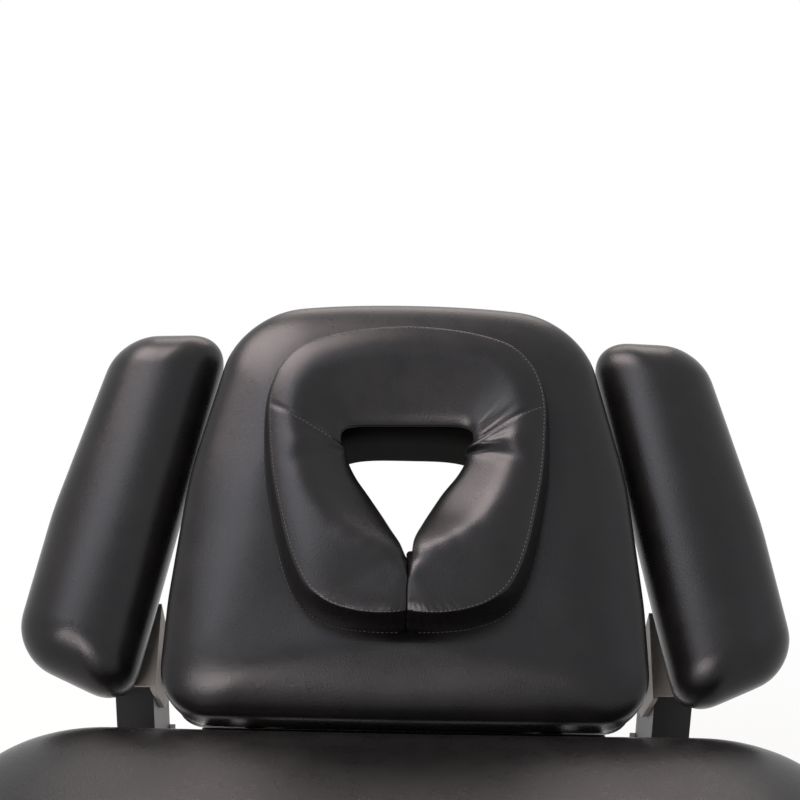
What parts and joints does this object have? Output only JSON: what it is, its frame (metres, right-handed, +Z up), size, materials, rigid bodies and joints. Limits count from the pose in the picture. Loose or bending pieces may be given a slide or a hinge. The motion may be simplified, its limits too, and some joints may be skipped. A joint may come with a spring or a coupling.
{
  "type": "electric massage table",
  "caption": "Electric massage table: padded main section, tilting head section with face cushion, adjustable arm rests, scissor lift with foot pedals.",
  "frame": {"origin": "centre of the overall outline at floor level", "axes": "+Y towards the head end, +X to the right of someone at the foot end looking to the head end, +Z up"},
  "size_m": [0.8, 1.7793, 0.976],
  "materials": {
    "black_vinyl": "satin black vinyl over foam, embossed grain",
    "sealed_plywood": "dark sealed plywood",
    "black_powder_coat": "satin black powder coat",
    "zinc_plated_steel": "zinc plated",
    "black_plastic": "fine texture",
    "rubber": "matt"
  },
  "bodies": {
    "base": {"base_rail_left": "black_powder_coat", "base_rail_right": "black_powder_coat", "base_bar_head": "black_powder_coat", "base_bar_foot": "black_powder_coat", "rubber_foot_head_left": "rubber", "rubber_foot_head_right": "rubber", "rubber_foot_foot_left": "rubber", "rubber_foot_foot_right": "rubber", "base_pivot_pin_left": "zinc_plated_steel", "base_pivot_pin_right": "zinc_plated_steel", "lift_actuator_tube": "zinc_plated_steel", "lift_motor": "black_plastic", "control_box": "black_plastic", "mains_inlet": "black_plastic", "pedal_housing": "black_plastic", "pedal_shaft": "zinc_plated_steel"},
    "lift_pedal": {"lift_pedal": "rubber"},
    "head_pedal": {"head_pedal": "rubber"},
    "outer_links": {"outer_link_left": "black_powder_coat", "outer_link_right": "black_powder_coat"},
    "upper_rollers": {"upper_roller_shaft": "zinc_plated_steel"},
    "inner_links": {"inner_link_left": "black_powder_coat", "inner_link_right": "black_powder_coat", "scissor_centre_shaft": "zinc_plated_steel"},
    "carriage": {"lift_actuator_rod": "zinc_plated_steel"},
    "lower_rollers": {"lower_roller_shaft": "zinc_plated_steel"},
    "table_top": {"top_rail_left": "black_powder_coat", "top_rail_right": "black_powder_coat", "cross_tube_head": "black_powder_coat", "cross_tube_foot": "black_powder_coat", "top_pivot_shaft": "zinc_plated_steel", "main_board": "sealed_plywood", "main_pad": "black_vinyl", "head_actuator_tube": "zinc_plated_steel", "head_motor": "black_plastic", "actuator_hanger": "black_powder_coat", "post_sleeve_left": "black_powder_coat", "post_sleeve_right": "black_powder_coat"},
    "head_section": {"head_pad": "black_vinyl", "head_board": "sealed_plywood", "head_rail_left": "black_powder_coat", "head_rail_right": "black_powder_coat", "head_cross_bar_low": "black_powder_coat", "head_cross_bar_high": "black_powder_coat", "hinge_pin": "zinc_plated_steel"},
    "head_rod": {"head_actuator_rod": "zinc_plated_steel", "head_drive_pin": "zinc_plated_steel"},
    "face_cushion": {"face_cushion": "black_vinyl"},
    "arm_post_left": {"arm_post_left": "black_powder_coat"},
    "arm_rest_left": {"arm_bracket_left": "black_powder_coat", "arm_board_left": "sealed_plywood", "arm_pad_left": "black_vinyl"},
    "arm_clamp_left": {"arm_clamp_bolt_left": "black_plastic"},
    "arm_post_right": {"arm_post_right": "black_powder_coat"},
    "arm_rest_right": {"arm_bracket_right": "black_powder_coat", "arm_board_right": "sealed_plywood", "arm_pad_right": "black_vinyl"},
    "arm_clamp_right": {"arm_clamp_bolt_right": "black_plastic"}
  },
  "joints": [
    {"name": "lift", "type": "hinge", "parent": "base", "child": "outer_links", "pos_m": [0, 0.32584, 0.0756], "axis": [-1, 0, 0], "range_deg": [-14, 20]},
    {"name": "scissor_centre", "type": "hinge", "parent": "outer_links", "child": "inner_links", "pos_m": [0, 0.00223, 0.31071], "axis": [1, 0, 0], "range_deg": [-28, 40]},
    {"name": "carriage_level", "type": "hinge", "parent": "inner_links", "child": "carriage", "pos_m": [0, -0.32137, 0.0756], "axis": [1, 0, 0], "range_deg": [-20, 14]},
    {"name": "table_level", "type": "hinge", "parent": "inner_links", "child": "table_top", "pos_m": [0, 0.32584, 0.54583], "axis": [1, 0, 0], "range_deg": [-20, 14]},
    {"name": "upper_roller_spin", "type": "hinge", "parent": "outer_links", "child": "upper_rollers", "pos_m": [0, -0.32137, 0.54583], "axis": [1, 0, 0], "continuous": true},
    {"name": "lower_roller_spin", "type": "hinge", "parent": "carriage", "child": "lower_rollers", "pos_m": [0, -0.32137, 0.0756], "axis": [1, 0, 0], "continuous": true},
    {"name": "head_tilt", "type": "hinge", "parent": "table_top", "child": "head_section", "pos_m": [0, 0.53584, 0.58173], "axis": [1, 0, 0], "range_deg": [-55, 0]},
    {"name": "head_rod_slide", "type": "slide", "parent": "table_top", "child": "head_rod", "axis": [0, 1, 0], "range_m": [-0.13689, 0]},
    {"name": "face_cushion_lift", "type": "slide", "parent": "head_section", "child": "face_cushion", "axis": [0, -0.7071, 0.7071], "range_m": [0, 0.06]},
    {"name": "lift_pedal_rock", "type": "hinge", "parent": "base", "child": "lift_pedal", "pos_m": [0, -0.57616, 0.046], "axis": [1, 0, 0], "range_deg": [-6, 6], "stiffness_Nm_per_rad": 4},
    {"name": "head_pedal_rock", "type": "hinge", "parent": "base", "child": "head_pedal", "pos_m": [0, -0.57616, 0.046], "axis": [1, 0, 0], "range_deg": [-6, 6], "stiffness_Nm_per_rad": 4},
    {"name": "arm_height_left", "type": "slide", "parent": "table_top", "child": "arm_post_left", "axis": [0, 0, 1], "range_m": [-0.02, 0.08]},
    {"name": "arm_tilt_left", "type": "hinge", "parent": "arm_post_left", "child": "arm_rest_left", "pos_m": [0, 0.70584, 0.60173], "axis": [1, 0, 0], "range_deg": [-45, 10]},
    {"name": "arm_clamp_left_turn", "type": "hinge", "parent": "arm_post_left", "child": "arm_clamp_left", "pos_m": [0, 0.70584, 0.60173], "axis": [1, 0, 0], "range_deg": [0, 180]},
    {"name": "arm_height_right", "type": "slide", "parent": "table_top", "child": "arm_post_right", "axis": [0, 0, 1], "range_m": [-0.02, 0.08]},
    {"name": "arm_tilt_right", "type": "hinge", "parent": "arm_post_right", "child": "arm_rest_right", "pos_m": [0, 0.70584, 0.60173], "axis": [1, 0, 0], "range_deg": [-45, 10]},
    {"name": "arm_clamp_right_turn", "type": "hinge", "parent": "arm_post_right", "child": "arm_clamp_right", "pos_m": [0, 0.70584, 0.60173], "axis": [1, 0, 0], "range_deg": [0, 180]}
  ],
  "couplings": [
    {"joint": "scissor_centre", "follows": "lift", "ratio": 2},
    {"joint": "carriage_level", "follows": "lift", "ratio": -1},
    {"joint": "table_level", "follows": "lift", "ratio": -1},
    {"joint": "head_rod_slide", "follows": "head_tilt", "m_per_rad": 0.14208}
  ]
}
